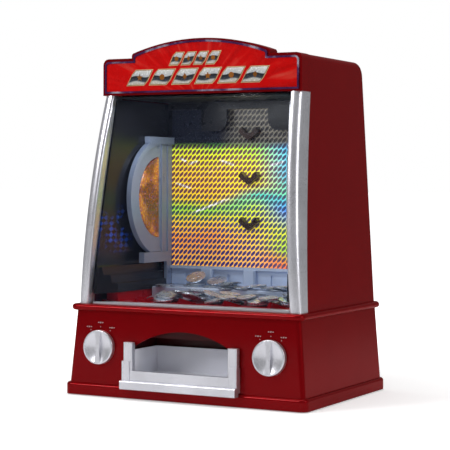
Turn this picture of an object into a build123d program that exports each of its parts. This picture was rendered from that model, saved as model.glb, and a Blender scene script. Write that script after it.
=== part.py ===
from build123d import *
import os
import random
from math import acos, cos, degrees, pi, radians, sin, sqrt, tan

import numpy as np

# Tabletop coin pusher. Millimetres, +X right, +Y back, +Z up, origin under the middle of its box.

# Driving sizes
BASE_HALF_W = 147.0
BASE_FRONT = -102.8
BASE_BACK = 112.0
WALL_LOW_HALF_W = 143.5
WALL_HIGH_HALF_W = 136.2
WALL_BACK = 109.0
SKIRT_BOTTOM = 1.0
SKIRT_TOP = 14.3
WALL = 2.5
DECK_TOP = 100.5
BEAD_H = 7.0
BEAD_HALF_W = 141.7
BEAD_FRONT = -101.0
BEAD_BACK = 112.0
CABINET_LOW_HALF_W = 136.0
CABINET_TOP_HALF_W = 118.6
CABINET_TOP = 371.0
CABINET_BACK = 108.5
MARQUEE_BOTTOM = 330.4
MARQUEE_HALF_W = 122.0
MARQUEE_FRONT = -63.2
ARCH_HALF_W = 85.0
ARCH_TOP = 390.0
PILLAR_W = 13.0
BOARD_Y = 62.0
BOARD_HALF_W = 105.0
FLOOR = 101.0
FLOOR_T = 3.0
LIP_Y = -56.0
COIN_R = 11.5
COIN_T = 1.7

# Pusher and its drive
STROKE = 16.0
PUSHER_FRONT = 16.0
PUSHER_BACK = 78.0
PUSHER_HALF_W = 105.2
PUSHER_BOTTOM = FLOOR + 0.3
PUSHER_TOP = 114.0
CAM_Y = 64.0
CAM_R_MAX = 26.0
CAM_R_MIN = CAM_R_MAX - STROKE
PIN_R = 3.0
CAM_CLEARANCE = 0.3
GEAR_MODULE = 1.2
CAM_TEETH = 36
PINION_TEETH = 12
PINION_X = GEAR_MODULE * (CAM_TEETH + PINION_TEETH) / 2
CAM_AXLE_R = 2.5
RUNNING_FIT = 0.06

# Drawer
DRAWER_HALF_W = 60.0
DRAWER_FRONT = -112.0
DRAWER_BACK = -50.0
BAY_HALF_W = 66.0
BAY_BACK = -42.0
ARCH_OPENING_TOP = 75.0

# Knobs
KNOB_X = 103.8
KNOB_Z = 54.0
KNOB_R = 18.8
KNOB_H = 5.2
KNOB_DISH_R = 46.0
KNOB_DISH_DEPTH = 3.3
WALL_LEAN = 0.0446

os.makedirs("parts", exist_ok=True)


# ---------------------------------------------------------------- helpers

def save(name, shape):
    """Write one sub-part as its own STEP file."""
    export_step(shape, f"parts/{name}.step")


def block(x, y, z):
    """A box between the low and high limits of each axis."""
    centre = [(low + high) / 2 for low, high in (x, y, z)]
    size = [high - low for low, high in (x, y, z)]
    return Pos(*centre) * Box(*size)


def rod(x, y, z, radius):
    """An upright cylinder at x, y between two heights."""
    return Pos(x, y, (z[0] + z[1]) / 2) * Cylinder(radius, z[1] - z[0])


def slab_x(outline, x):
    """Extrude a (y, z) outline across the machine."""
    return extrude(Plane.YZ.offset(x[0]) * outline, x[1] - x[0])


def slab_y(outline, y):
    """Extrude an (x, z) outline from back to front."""
    return extrude(Plane.XZ.offset(-y[1]) * outline, y[1] - y[0])


def slab_z(outline, z):
    """Extrude an (x, y) outline upwards."""
    return extrude(Plane.XY.offset(z[0]) * outline, z[1] - z[0])


def outline(*points):
    """A closed straight-sided outline."""
    return make_face(Polyline(*points, close=True))


def both_sides(shape):
    """The shape and its mirror image on the other side."""
    return shape, mirror(shape, about=Plane.YZ)


def group(solids):
    """Several separate solids as one part."""
    return Compound(children=list(solids))


def arc_y(points, z):
    """Where the arc through three (y, z) points is at height z, on its front side."""
    (y1, z1), (y2, z2), (y3, z3) = points
    det = 2 * (y1 * (z2 - z3) + y2 * (z3 - z1) + y3 * (z1 - z2))
    s1, s2, s3 = y1 * y1 + z1 * z1, y2 * y2 + z2 * z2, y3 * y3 + z3 * z3
    cy = (s1 * (z2 - z3) + s2 * (z3 - z1) + s3 * (z1 - z2)) / det
    cz = (s1 * (y3 - y2) + s2 * (y1 - y3) + s3 * (y2 - y1)) / det
    radius = sqrt((y1 - cy) ** 2 + (z1 - cz) ** 2)
    return cy - radius * sqrt(1 - ((z - cz) / radius) ** 2)


def side_half_w(z, inset=0.0):
    """Half width of the tapered cabinet at height z."""
    taper = (CABINET_LOW_HALF_W - CABINET_TOP_HALF_W) / (CABINET_TOP - 100)
    return CABINET_LOW_HALF_W - taper * (z - 100) - inset


def taper_slab(z, inset, y=(-130, 130), inner=None):
    """A slab between the cabinet's slanted sides, or a slanted board where inner is given."""
    low, high = side_half_w(z[0], inset), side_half_w(z[1], inset)
    if inner is None:
        return slab_y(outline((-low, z[0]), (low, z[0]), (high, z[1]), (-high, z[1])), y)
    face = outline((low - inner, z[0]), (low, z[0]), (high, z[1]), (high - inner, z[1]))
    return slab_y(face, y)


# Curves of the front, as (y, z) at the foot, middle and top
PILLAR_NOSE = ((-93.5, DECK_TOP), (-87.5, 215.0), (-63.5, MARQUEE_BOTTOM))
PILLAR_REAR = ((-75.3, DECK_TOP), (-62.2, 215.0), (-40.0, MARQUEE_BOTTOM))
WINDOW_FACE = ((-90.2, DECK_TOP), (-78.0, 210.0), (-60.2, MARQUEE_BOTTOM))


# ---------------------------------------------------------------- base

def base_section(z, half_w, front, back, radius):
    """A rounded rectangle at one height of the base."""
    middle = Pos(0, (front + back) / 2, z)
    return middle * RectangleRounded(2 * half_w, back - front, radius)


def drawer_opening():
    """The arched way through the front wall for the drawer."""
    shoulder = 56.5
    half_w = DRAWER_HALF_W + 0.8
    sides = Polyline((-half_w, shoulder), (-half_w, 15.2), (half_w, 15.2), (half_w, shoulder))
    top = ThreePointArc((half_w, shoulder), (0, ARCH_OPENING_TOP), (-half_w, shoulder))
    return slab_y(make_face(sides + top), (-125, -80))


def knob_plane(side, lift=0.0):
    """The plane on the front wall where a knob sits, its normal out of the wall."""
    y_wall = -99.0 + (KNOB_Z - SKIRT_TOP) * WALL_LEAN
    normal = Vector(0, -1, WALL_LEAN).normalized()
    spot = Vector(side * KNOB_X, y_wall, KNOB_Z) + normal * lift
    return Plane(origin=spot, x_dir=(1, 0, 0), z_dir=normal)


def base_housing():
    skirt = slab_z(base_section(0, BASE_HALF_W, BASE_FRONT, BASE_BACK, 8), (SKIRT_BOTTOM, SKIRT_TOP))
    skirt = fillet(skirt.edges().group_by(Axis.Z)[-1], 3.5)
    low = base_section(SKIRT_TOP - 4, WALL_LOW_HALF_W, -99.2, WALL_BACK, 5)
    high = base_section(94, WALL_HIGH_HALF_W, -95.4, WALL_BACK, 5)
    bead_z = (DECK_TOP - BEAD_H, DECK_TOP)
    bead = slab_z(base_section(0, BEAD_HALF_W, BEAD_FRONT, BEAD_BACK, 9), bead_z)
    bead = fillet(bead.edges().group_by(Axis.Z)[-1] + bead.edges().group_by(Axis.Z)[0], 3.4)
    low_in = base_section(-2, WALL_LOW_HALF_W - WALL, -99.2 + WALL, WALL_BACK - WALL, 3)
    high_in = base_section(98, WALL_HIGH_HALF_W - WALL, -95.4 + WALL, WALL_BACK - WALL, 3)
    deck_way = block((-122, 122), (-88, 103.6), (90, 110))
    shell = skirt + loft([low, high]) + bead - loft([low_in, high_in]) - deck_way
    shell -= drawer_opening()
    for side in (-1, 1):
        shell -= knob_plane(side, -8) * Cylinder(3.4, 20)
    return shell


def base_plate():
    plate = block((-139.8, 139.8), (-95.6, 105.4), (1.5, 4.0))
    plate = fillet(plate.edges().filter_by(Axis.Z), 4)
    plate -= block((-52, 52), (6, 60), (0, 6))
    for ring, count in ((6, 6), (12, 12), (18, 18)):
        for index in range(count):
            angle = 2 * pi * index / count
            plate -= rod(-95 + ring * cos(angle), 35 + ring * sin(angle), (0, 6), 1.5)
    for x, y in SCREW_SPOTS:
        plate += rod(x, y, (4.0, 16), 4)
        plate -= rod(x, y, (0, 11), 1.6)
    return plate


FOOT_SPOTS = [(sx * 120.0, y) for sx in (-1, 1) for y in (-78.0, 88.0)]
SCREW_SPOTS = [(sx * 128.0, y) for sx in (-1, 1) for y in (-60.0, 70.0)]
REAR_SCREWS = [(sx * 84.0, z) for sx in (-1, 1) for z in (134.0, 230.0, 326.0)]


def rubber_feet():
    feet = []
    for x, y in FOOT_SPOTS:
        foot = rod(x, y, (0, 1.5), 8)
        feet.append(chamfer(foot.edges().group_by(Axis.Z)[0], 0.6))
    return group(feet)


def case_screws():
    """The screws under the base plate and those of the rear cover."""
    screws = []
    for x, y in SCREW_SPOTS:
        screws.append(rod(x, y, (0.7, 1.5), 3.2) + rod(x, y, (1.5, 10.5), 1.5))
    for x, z in REAR_SCREWS:
        head = Pos(x, CABINET_BACK + 0.4, z) * Rot(90, 0, 0) * Cylinder(3.2, 1.4)
        shank = Pos(x, CABINET_BACK - 5, z) * Rot(90, 0, 0) * Cylinder(1.5, 10)
        screws.append(head + shank)
    return group(screws)


def battery_box():
    outer = block((-54, 54), (4, 62), (4.0, 26))
    room = block((-52, 52), (6, 60), (4.0, 24))
    for wall_x in (-17.5, 17.5):
        room -= block((wall_x - 0.8, wall_x + 0.8), (6, 60), (4.0, 10))
    return outer - room


def battery_door():
    door = block((-51.6, 51.6), (6.4, 59.6), (1.7, 3.7))
    for index in range(5):
        y = 12 + 3 * index
        door -= block((-12, 12), (y, y + 1.2), (1.6, 2.2))
    return door


def battery_contacts():
    """Spring plates at both ends of the three cells."""
    plates = []
    for x in (-35, 0, 35):
        for y in (6.0, 59.4):
            plates.append(block((x - 6, x + 6), (y, y + 0.6), (11, 22)))
    return group(plates)


def main_board():
    board = block((-124, -60), (72, 73.6), (20, 70))
    for x, z in ((-112, 34), (-92, 48), (-76, 58)):
        board += block((x - 6, x + 6), (69.6, 72), (z - 6, z + 6))
    return board


def speaker():
    frame = rod(-95, 35, (4.0, 6), 24)
    cone = Pos(-95, 35, 11) * Cone(22, 12, 10)
    return frame + cone + rod(-95, 35, (16, 24), 14)


# ---------------------------------------------------------------- cabinet

def cabinet_profile(inset, open_front):
    """Side outline of the cabinet, as (y, z), with its round back edge."""
    top, back, radius = CABINET_TOP - inset, CABINET_BACK - inset, 16.0 - inset
    if open_front:
        foot = DECK_TOP - 5
        front = Polyline((-130, foot), (-130, top), (back - radius, top))
    else:
        foot = DECK_TOP
        front = ThreePointArc(*PILLAR_REAR) + Polyline(PILLAR_REAR[2], (-40.0, top), (back - radius, top))
    turn = radius * (1 - sqrt(0.5))
    corner = ThreePointArc((back - radius, top), (back - turn, top - turn), (back, top - radius))
    start = (-130, foot) if open_front else PILLAR_REAR[0]
    rest = Polyline((back, top - radius), (back, foot), start)
    return make_face(front + corner + rest)


def front_trapezoid(inset):
    """Front outline of the cabinet, as (x, z)."""
    foot = DECK_TOP - 5 * (inset > 0)
    low, high, top = side_half_w(foot, inset), side_half_w(CABINET_TOP, inset), CABINET_TOP - inset
    return outline((-low, foot), (low, foot), (high, top), (-high, top))


def cabinet_block(inset, radius):
    """The outer block of the cabinet, or with an inset the room inside it, open to the front."""
    side = slab_x(cabinet_profile(inset, inset > 0), (-150, 150))
    body = side & slab_y(front_trapezoid(inset), (-150, 150))

    def runs_round_a_side(edge):
        middle = edge.center()
        return abs(middle.X) > 105 and middle.Y > -35 and middle.Z > DECK_TOP + 20
    return fillet(body.edges().filter_by(runs_round_a_side), radius)


SLOT_Y = 57.5
REAR_OPENING = ((-92, 92), (124, 336))


def cabinet_shell():
    shell = cabinet_block(0, 7) - cabinet_block(WALL, 4.5)
    shell -= block((-19, 19), (SLOT_Y - 6, SLOT_Y + 6), (360, 380))
    x_range, z_range = REAR_OPENING
    return shell - block(x_range, (95, 120), z_range)


def rear_cover():
    (x0, x1), (z0, z1) = REAR_OPENING
    plug = block((x0 + 0.3, x1 - 0.3), (CABINET_BACK - WALL, CABINET_BACK - 0.3), (z0 + 0.3, z1 - 0.3))
    lip = block((x0 - 5, x1 + 5), (CABINET_BACK - WALL - 2, CABINET_BACK - WALL), (z0 - 5, z1 + 5))
    cover = plug + lip
    for row in range(9):
        z = 280 + 5 * row
        cover -= block((-45, 45), (90, 120), (z, z + 2))
    for x, z in REAR_SCREWS:
        cover -= Pos(x, CABINET_BACK, z) * Rot(90, 0, 0) * Cylinder(1.6, 30)
    return cover


def behind_window(gap, x):
    """Everything behind the window by more than the gap, as a slab across x."""
    front = ThreePointArc(*[(y + gap, z) for y, z in WINDOW_FACE])
    (y_low, z_low), (y_high, z_high) = WINDOW_FACE[0], WINDOW_FACE[2]
    rest = Polyline((y_high + gap, z_high), (80, z_high), (80, z_low), (y_low + gap, z_low))
    return slab_x(make_face(front + rest), x)


def pillar():
    """The silver pillar on the right-hand front edge, thinner behind the window."""
    nose = ThreePointArc(*PILLAR_NOSE)
    rear = ThreePointArc(*PILLAR_REAR)
    foot = Line(PILLAR_NOSE[0], PILLAR_REAR[0])
    head = Line(PILLAR_NOSE[2], PILLAR_REAR[2])
    side = slab_x(make_face(nose + rear + foot + head), (0, 150))
    bar = side & taper_slab((90, 340), 0, inner=PILLAR_W)
    nose_edges = bar.edges().filter_by(lambda e: e.length > 200 and e.center().Y < -72)
    bar = fillet(nose_edges.sort_by(Axis.X)[-1], 8.5)
    nose_edges = bar.edges().filter_by(lambda e: e.length > 200 and e.center().Y < -72)
    bar = fillet(nose_edges.sort_by(Axis.X)[0], 3)
    return bar - (behind_window(3.5, (0, 150)) & taper_slab((90, 340), 10))


def front_window():
    back_face = [(y + 1.6, z) for y, z in WINDOW_FACE]
    front = ThreePointArc(*WINDOW_FACE)
    rear = ThreePointArc(*back_face)
    foot = Line(WINDOW_FACE[0], back_face[0])
    head = Line(WINDOW_FACE[2], back_face[2])
    sheet = slab_x(make_face(front + rear + foot + head), (-150, 150))
    return sheet & taper_slab((90, 340), PILLAR_W + 0.1)


# ---------------------------------------------------------------- marquee

def crown(half_w, low, shoulder, step_half_w, step, top, corner):
    """The arched sign outline, as (x, z)."""
    right = Polyline((half_w, low), (half_w, shoulder), (step_half_w, shoulder), (step_half_w, step))
    left = Polyline((-step_half_w, step), (-step_half_w, shoulder), (-half_w, shoulder), (-half_w, low))
    arch = ThreePointArc((step_half_w, step), (0, top), (-step_half_w, step))
    foot = Line((-half_w, low), (half_w, low))
    face = make_face(right + arch + left + foot)
    tops = [v for v in face.vertices() if abs(abs(v.X) - half_w) < 0.1 and v.Y > low + 5]
    face = fillet(tops, corner)
    steps = [v for v in face.vertices() if abs(abs(v.X) - step_half_w) < 0.1 and abs(v.Y - step) < 0.1]
    return fillet(steps, min(corner, 3.5))


def marquee_frame():
    face = crown(MARQUEE_HALF_W, MARQUEE_BOTTOM, 370.9, ARCH_HALF_W, 375.5, ARCH_TOP, 7)
    arch = slab_y(face, (MARQUEE_FRONT, -46))
    body = block((-MARQUEE_HALF_W, MARQUEE_HALF_W), (-50, -40), (MARQUEE_BOTTOM, 370.9))
    body = fillet(body.edges().filter_by(Axis.Y).group_by(Axis.Z)[-1], 7)
    room = crown(MARQUEE_HALF_W - 2.5, MARQUEE_BOTTOM + 2.5, 368.4, ARCH_HALF_W - 2.5, 373, ARCH_TOP - 2.5, 5)
    hollow = slab_y(room, (MARQUEE_FRONT + 2.5, -48.5))
    hollow += block((-116, 116), (-52, -39), (MARQUEE_BOTTOM + 2.5, 368.4))
    return arch + body - hollow


LABEL = (118.0, 333.6, 366.6, 81.0, 373.0, 386.8)


def label_face(grow):
    half_w, low, shoulder, step_half_w, step, top = LABEL
    return crown(half_w + grow, low - grow, shoulder + grow, step_half_w + grow, step + grow,
                 top + grow, 4 + grow)


def marquee_panel():
    return slab_y(label_face(-1.0), (MARQUEE_FRONT - 0.7, MARQUEE_FRONT))


def marquee_trim():
    ring = slab_y(label_face(1.0), (MARQUEE_FRONT - 1.5, MARQUEE_FRONT))
    return ring - slab_y(label_face(-1.0), (-80, -50))


# ---------------------------------------------------------------- inside the cabinet

PANEL_TOP = 326.0
PANEL_SLOPE = 0.0616
PANEL_KNEE = (118.2, 141.5)


def side_panel():
    """The black right-hand panel, with three steps that come inward at its foot."""
    knee_x, knee_z = PANEL_KNEE
    top_x = knee_x - PANEL_SLOPE * (PANEL_TOP - knee_z)
    steps = [(106.0, 111.2), (106.4, 121.2), (109.2, 121.8), (110.0, 131.0), (113.2, 131.4), (114.0, 140.2)]
    foot = outline(*steps, (117.6, 140.2), PANEL_KNEE, (120.5, knee_z), (120.5, 111.2))
    sheet = outline(PANEL_KNEE, (120.5, knee_z), (top_x + 2.3, PANEL_TOP), (top_x, PANEL_TOP))
    panel = slab_y(foot, (-95, 49.8)) + slab_y(sheet, (-95, 58))
    cleared = outline((100, -56), (106, -56), (117.6, -88), (117.6, -100), (100, -100))
    panel -= slab_z(cleared, (90, 150))
    return panel & behind_window(4.5, (90, 130))


THROAT_HALF_W = 26.5
TONGUE_HALF_W = 60.0
ROOF_Z = 327.0


def header_panel():
    """The black roof liner and the plate that coins drop behind, with its throat."""
    roof_front = arc_y(WINDOW_FACE, ROOF_Z) + 3
    roof = block((-104, 104), (roof_front, 61.0), (ROOF_Z, ROOF_Z + 2))
    roof -= block((-16, 16), (53.5, 61.5), (320, 340))
    strip = block((-104, 104), (50.5, 53), (319, ROOF_Z))
    panel = roof + strip
    for side in (-1, 1):
        x = sorted((side * THROAT_HALF_W, side * TONGUE_HALF_W))
        tongue = block(x, (50.5, 53), (294, 321))
        inner = tongue.edges().filter_by(Axis.Y).group_by(Axis.Z)[0].sort_by(Axis.X)
        tongue = fillet(inner[0] if side > 0 else inner[-1], 13)
        panel += tongue
    return panel


def backboard():
    board = block((-112, 112), (BOARD_Y, BOARD_Y + 2), (136.4, 326.5))
    for x in (-80, 0, 80):
        board += block((x - 1.5, x + 1.5), (BOARD_Y + 2, BOARD_Y + 8), (140, 320))
    return board


def hologram_sheet():
    return block((-BOARD_HALF_W, BOARD_HALF_W), (BOARD_Y - 0.6, BOARD_Y), (136.6, 325))


DEFLECTOR_ZS = (187.4, 239.8, 290.8)


def coin_deflectors():
    """Three V-shaped ledges that make falling coins jump to one side."""
    face = outline((0, -8.0), (12.8, 1.6), (9.4, 7.2), (3.2, 0.6), (-3.2, 0.6), (-9.4, 7.2), (-12.8, 1.6))
    ledge = slab_y(face, (BOARD_Y - 9, BOARD_Y - 0.6))
    return group([Pos(0, 0, z) * ledge for z in DEFLECTOR_ZS])


LAMP_CY = 33.0
LAMP_CZ = 217.0
LAMP_R = 67.5
LENS_R = 47.0
CHEEK_X = 105.0


def lamp_outline(radius, flat_y):
    """A D shape, its round side to the front, as (y, z)."""
    reach = sqrt(radius ** 2 - (flat_y - LAMP_CY) ** 2)
    arc = ThreePointArc((flat_y, LAMP_CZ + reach), (LAMP_CY - radius, LAMP_CZ), (flat_y, LAMP_CZ - reach))
    return make_face(arc + Line((flat_y, LAMP_CZ - reach), (flat_y, LAMP_CZ + reach)))


def lamp_housing():
    """The grey lamp cheek on the right-hand side."""
    body = slab_x(lamp_outline(LAMP_R, LAMP_CY), (CHEEK_X, 109))
    body &= block((90, 120), (-50, 60), (153, 281))
    body += block((CHEEK_X, 109), (LAMP_CY - 4, BOARD_Y - 0.8), (150, 283))
    rim = slab_x(lamp_outline(LAMP_R, LAMP_CY), (CHEEK_X - 2, CHEEK_X))
    rim -= slab_x(lamp_outline(LAMP_R - 7, LAMP_CY + 1), (90, 120))
    rim &= block((90, 120), (-50, 32), (154, 280))
    body += rim
    body += block((CHEEK_X - 3, 109), (5, BOARD_Y - 0.8), (279, 287))
    body += block((CHEEK_X - 3, 109), (-7, 49), (142, 153.6))
    body += block((CHEEK_X - 1.5, CHEEK_X), (35, 38), (153, 280))
    body += block((CHEEK_X - 1.5, CHEEK_X), (49.5, 52.5), (153, 280))
    body += block((CHEEK_X + 0.4, 109), (50, BOARD_Y - 0.8), (114.6, 152))
    body -= slab_x(lamp_outline(LENS_R, LAMP_CY - 3.5), (90, 120))
    return body


def lamp_lens():
    lens = slab_x(lamp_outline(LENS_R - 0.2, LAMP_CY - 3.8), (CHEEK_X - 1.2, CHEEK_X + 1.0))
    inner = lens.edges().group_by(Axis.X)[0]
    return chamfer(inner, 1.0)


def lamp_boards():
    """The lamp circuit boards behind both lenses, each with three lamps."""
    board = block((107.2, 108.4), (6, 26), (190, 244))
    for z in (200, 217, 234):
        board += Pos(106.7, 16, z) * Rot(0, 90, 0) * Cylinder(2.4, 1.0)
    return group(both_sides(board))


RIB_XS = (-56.0, 0.0, 56.0)


def wiper_fascia():
    """The grey lower front of the board, which holds coins back when the pusher draws in."""
    low, high = 114.6, 136.4
    face = block((-105, 105), (61.0, 65.0), (low, high))
    face += block((-105, 105), (57.5, 61.0), (high - 3.2, high))
    for x in RIB_XS:
        rib = block((x - 8, x + 8), (55.5, 61.0), (low, high - 3.2))
        face += chamfer(rib.edges().filter_by(Axis.Z).group_by(Axis.Y)[0], 2)
    for x in (-84.0, -28.0, 28.0, 84.0):
        face -= block((x - 2, x + 2), (60.0, 62.5), (low + 1.5, 128))
    return face


# ---------------------------------------------------------------- playfield

def playfield_tray():
    """The red floor with its side rims and its hangers for the drive."""
    floor = block((-121.4, 121.4), (LIP_Y, 98), (FLOOR - FLOOR_T, FLOOR))
    tray = floor - block((-13, 13), (66, 100), (90, 110))
    for side in (-1, 1):
        rim = outline((106.0, FLOOR - 0.5), (107.5, 111.0), (121.4, 111.0), (121.4, FLOOR - 0.5))
        rim = slab_y(rim, (LIP_Y, 60))
        flange = block((120, 128), (LIP_Y, 96), (DECK_TOP, DECK_TOP + 2))
        piece = rim + flange
        tray += piece if side > 0 else mirror(piece, about=Plane.YZ)
    return tray


def playfield_lip():
    """The pale rim round the payout gap."""
    ring = block((-120.4, 120.4), (-86.5, LIP_Y), (97, FLOOR))
    ring += block((-120.4, 120.4), (-86.5, -81), (FLOOR, 102.2))
    return ring - block((-106, 106), (-81, LIP_Y - 3), (90, 110))


WEDGE_XS = (-83.0, -28.0, 28.0, 83.0)


def wedge(x):
    """A plough-shaped divider: high and pointed at the front, low and wide at the back."""
    length, half_w, height = 16.0, 12.0, 7.0
    plan = outline((x, LIP_Y + 0.4), (x + half_w, LIP_Y + length), (x - half_w, LIP_Y + length))
    body = slab_z(plan, (FLOOR, FLOOR + height))
    side = outline((LIP_Y - 1, FLOOR), (LIP_Y - 1, FLOOR + height + 0.5), (LIP_Y + length + 0.1, FLOOR + 0.6),
                   (LIP_Y + length + 0.1, FLOOR))
    return body & slab_x(side, (x - half_w, x + half_w))


def coin_dividers():
    return group([wedge(x) for x in WEDGE_XS])


def pusher_guides():
    """Low rails on the floor that keep the pusher square behind the board."""
    return group(both_sides(block((105.5, 111), (64, 97), (FLOOR, 112))))


def bay_liner():
    """Side walls and back wall round the drawer, standing on the base plate."""
    outer = block((-BAY_HALF_W, BAY_HALF_W), (-92.6, BAY_BACK), (4.0, 96.5))
    return outer - block((-BAY_HALF_W + 2, BAY_HALF_W - 2), (-95, BAY_BACK - 2), (0, 100))


def payout_chute():
    """Funnel from the payout gap down to the drawer, inside the bay."""
    front, back, wall = -83.5, -59.5, 1.6
    top_w, low_w = 63.4, 55.0

    def funnel(inset, z0, z1):
        low = Pos(0, (front + back) / 2, z0) * Rectangle(2 * (low_w - inset), back - front - 2 * inset)
        high = Pos(0, (front + back) / 2, z1) * Rectangle(2 * (top_w - inset), back - front - 2 * inset)
        return loft([low, high])
    return funnel(0, 66, 96.5) - funnel(wall, 65.9, 96.6)


def payout_wings():
    """Sloping trays that bring coins from the ends of the gap to the funnel."""
    wing = outline((66.2, 84.0), (121.0, 95.0), (121.0, 96.8), (66.2, 85.8))
    front = outline((66.2, 84.0), (121.0, 95.0), (121.0, 96.8), (66.2, 96.8))
    piece = slab_y(wing, (-84, -59)) + slab_y(front, (-85.6, -84)) + slab_y(front, (-59, -57.4))
    return group(both_sides(piece))


# ---------------------------------------------------------------- coins

class CoinHeap:
    """Coins dropped one at a time, each at rest in the lowest pose found for it."""

    GRID = 0.5
    GAP = 0.06
    TILTS = (0, 4, 8, 12, 17, 23, 30)

    def __init__(self, x, y, ground):
        xs = np.arange(x[0] - 16, x[1] + 16, self.GRID)
        ys = np.arange(y[0] - 16, y[1] + 16, self.GRID)
        self.xs, self.ys = np.meshgrid(xs, ys, indexing="ij")
        self.top = np.full(self.xs.shape, ground)
        self.coins = []

    def raise_ground(self, inside, height):
        """Mark an obstacle: the ground is at least height where inside is true."""
        self.top[inside] = np.maximum(self.top[inside], height)

    def best_pose(self, x, y):
        dx, dy = self.xs - x, self.ys - y
        under = dx * dx + dy * dy < (COIN_R + 0.45) ** 2
        dx, dy, top = dx[under], dy[under], self.top[under]
        best = None
        for tilt in self.TILTS:
            for turn in range(0, 360, 20 if tilt else 360):
                slope = tan(radians(tilt))
                sx, sy = slope * cos(radians(turn)), slope * sin(radians(turn))
                half = COIN_T / 2 / cos(radians(tilt))
                z = float(np.max(top - sx * dx - sy * dy)) + half + self.GAP
                if best is None or z < best[0] - 1e-6:
                    best = (z, sx, sy, half)
        return best, under, dx, dy

    def drop(self, candidates):
        """Put one coin at whichever candidate place lets it lie lowest."""
        tries = [(self.best_pose(x, y), x, y) for x, y in candidates]
        (pose, under, dx, dy), x, y = min(tries, key=lambda item: item[0][0][0])
        z, sx, sy, half = pose
        self.top[under] = np.maximum(self.top[under], z + half + sx * dx + sy * dy)
        self.coins.append((Vector(x, y, z), Vector(-sx, -sy, 1).normalized()))

    def solids(self):
        return group([coin(centre, normal) for centre, normal in self.coins])


def coin(centre, normal):
    side = Vector(1, 0, 0) if abs(normal.X) < 0.9 else Vector(0, 1, 0)
    flat = Plane(origin=centre, x_dir=normal.cross(side), z_dir=normal)
    return flat * Cylinder(COIN_R, COIN_T)


PLAYFIELD_COINS = 46


def coins_on_playfield():
    heap = CoinHeap((-100, 100), (-56, 16), FLOOR)
    for x in WEDGE_XS:
        near = (abs(heap.xs - x) < 13) & (heap.ys < LIP_Y + 17)
        heap.raise_ground(near, FLOOR + 7.2)
    dice = random.Random(11)
    for index in range(PLAYFIELD_COINS):
        places = [(dice.uniform(-80, 92), dice.uniform(-43, 4.0)) for _ in range(5)]
        if index % 3 == 2:
            places = [(dice.uniform(-70, 88), dice.uniform(-40, 4.0))]
        heap.drop(places)
    return heap.solids()


def coins_on_pusher():
    heap = CoinHeap((-105, 105), (16, 30), PUSHER_TOP)
    heap.drop([(-93.4, 25.0)])
    dice = random.Random(5)
    for index in range(11):
        places = [(dice.uniform(-11, 90), dice.uniform(21.5, 27.5)) for _ in range(4)]
        heap.drop(places)
    heap.drop([(85.0, 24.0)])
    heap.drop([(83.0, 25.5)])
    return heap.solids()


def leaning_coin(x, lean, foot_y, ground):
    """A coin that leans back, its lowest edge just over the ground given."""
    angle = radians(lean)
    normal = Vector(0, -sin(angle), cos(angle))
    up = Vector(0, cos(angle), sin(angle))
    foot = Vector(x, foot_y, ground + 0.25 + COIN_T / 2 * cos(angle))
    return coin(foot + up * COIN_R, normal)


def coins_at_fascia():
    """Coins held back by the fascia, which the pusher slides under."""
    first = PUSHER_TOP + 0.06 + COIN_T / 2
    second = first + COIN_T + 0.06
    up = Vector(0, 0, 1)
    flat = [coin(Vector(-64.0, 40.0, first), up), coin(Vector(-61.0, 42.0, second), up)]
    flat.append(coin(Vector(-36.5, 36.0, first), up))
    leaning = [leaning_coin(-62.6, 30, 34.0, second + COIN_T / 2), leaning_coin(-35.4, 20, 34.5, first + 1)]
    return group(flat + leaning)


# ---------------------------------------------------------------- pusher and drive

def pusher_plate():
    outer = block((-PUSHER_HALF_W, PUSHER_HALF_W), (PUSHER_FRONT, PUSHER_BACK), (PUSHER_BOTTOM, PUSHER_TOP))
    outer = fillet(outer.edges().filter_by(Axis.X).group_by(Axis.Y)[0].sort_by(Axis.Z)[-1], 1.2)
    room = block((-PUSHER_HALF_W + 2, PUSHER_HALF_W - 2), (PUSHER_FRONT + 2, PUSHER_BACK - 2),
                 (PUSHER_BOTTOM - 1, PUSHER_TOP - 2))
    room -= block((-10, 10), (68, 80), (90, 120))
    return outer - room


YOKE_Z = (93.6, 97.0)


def pusher_yoke():
    """Bar under the floor that carries the follower pins, and its post up to the pusher."""
    bar = block((-8, 8), (CAM_Y - CAM_R_MAX - 5, PUSHER_BACK), YOKE_Z)
    bar += block((-8, 8), (70.5, 77.5), (YOKE_Z[0], PUSHER_BOTTOM))
    for y in FOLLOWER_YS:
        bar -= rod(0, y, (90, 96), 1.5)
    return bar


FOLLOWER_YS = (CAM_Y - CAM_R_MAX, CAM_Y + CAM_R_MIN)


def follower_pins():
    """Two pins with wide heads that ride on the cam from both sides."""
    pins = []
    for y in FOLLOWER_YS:
        pins.append(rod(0, y, (86.6, YOKE_Z[0]), PIN_R) + rod(0, y, (YOKE_Z[0], 96), 1.5))
    return group(pins)


def cam_edge(side):
    """One half of the heart-shaped cam edge, as a curve from its lobe to its notch."""
    gain = STROKE / pi
    reach = PIN_R + CAM_CLEARANCE
    points = []
    for index in range(19):
        angle = pi * index / 18
        radius = CAM_R_MAX - gain * angle
        edge = radius - reach * sqrt(radius ** 2 + gain ** 2) / radius
        points.append((side * edge * sin(angle), CAM_Y - edge * cos(angle)))
    return Spline(*points)


CAM_Z = (87.0, 92.0)
GEAR_Z = (81.0, 86.0)


def heart_cam():
    body = slab_z(make_face(cam_edge(1) + cam_edge(-1)), CAM_Z)
    body += rod(0, CAM_Y, (GEAR_Z[1], CAM_Z[0]), 5)
    return body - rod(0, CAM_Y, (80, 95), CAM_AXLE_R + RUNNING_FIT)


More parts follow.
